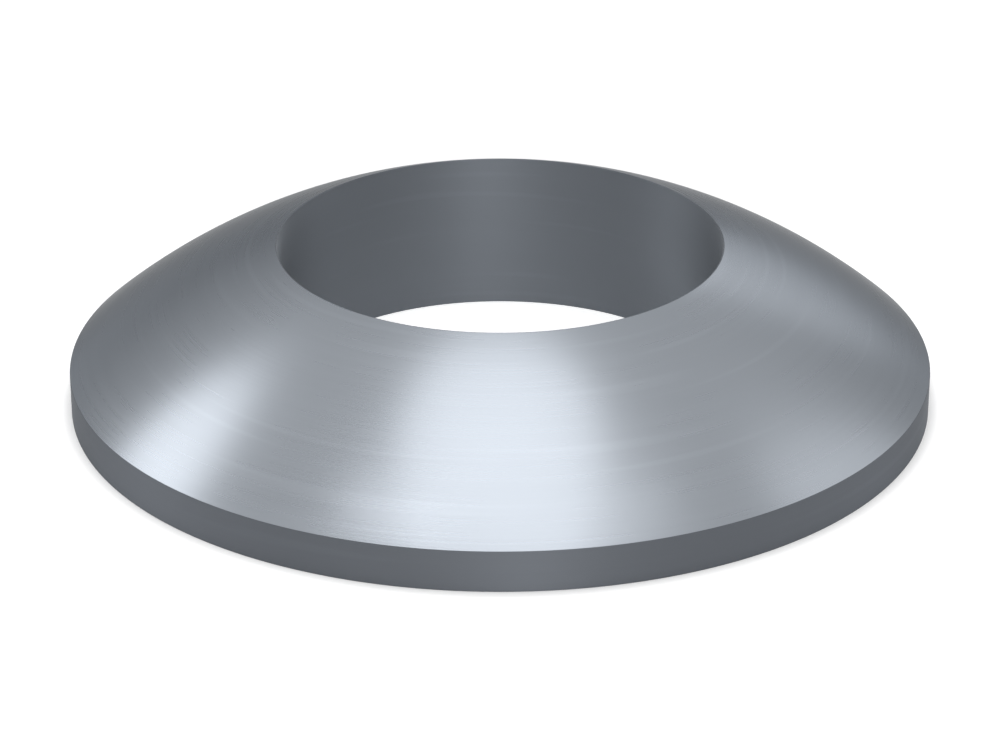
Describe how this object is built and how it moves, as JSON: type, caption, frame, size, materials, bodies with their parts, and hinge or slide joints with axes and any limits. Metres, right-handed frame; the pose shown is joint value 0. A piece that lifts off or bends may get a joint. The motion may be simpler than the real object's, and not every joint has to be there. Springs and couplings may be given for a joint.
{
  "type": "spherical washer",
  "caption": "Turned steel washer with a spherical upper face, short cylindrical rim, flat bearing face and plain bore, so that a nut bears square when its bolt leans.",
  "frame": {"origin": "on the bore axis, in the plane of the flat bearing face", "axes": "+Z along the bore axis, from the flat bearing face towards the spherical face"},
  "size_m": [0.021, 0.021, 0.004],
  "materials": {
    "turned_steel": "fine turned satin steel, cool grey"
  },
  "bodies": {
    "root": {"washer": "turned_steel"}
  },
  "joints": []
}
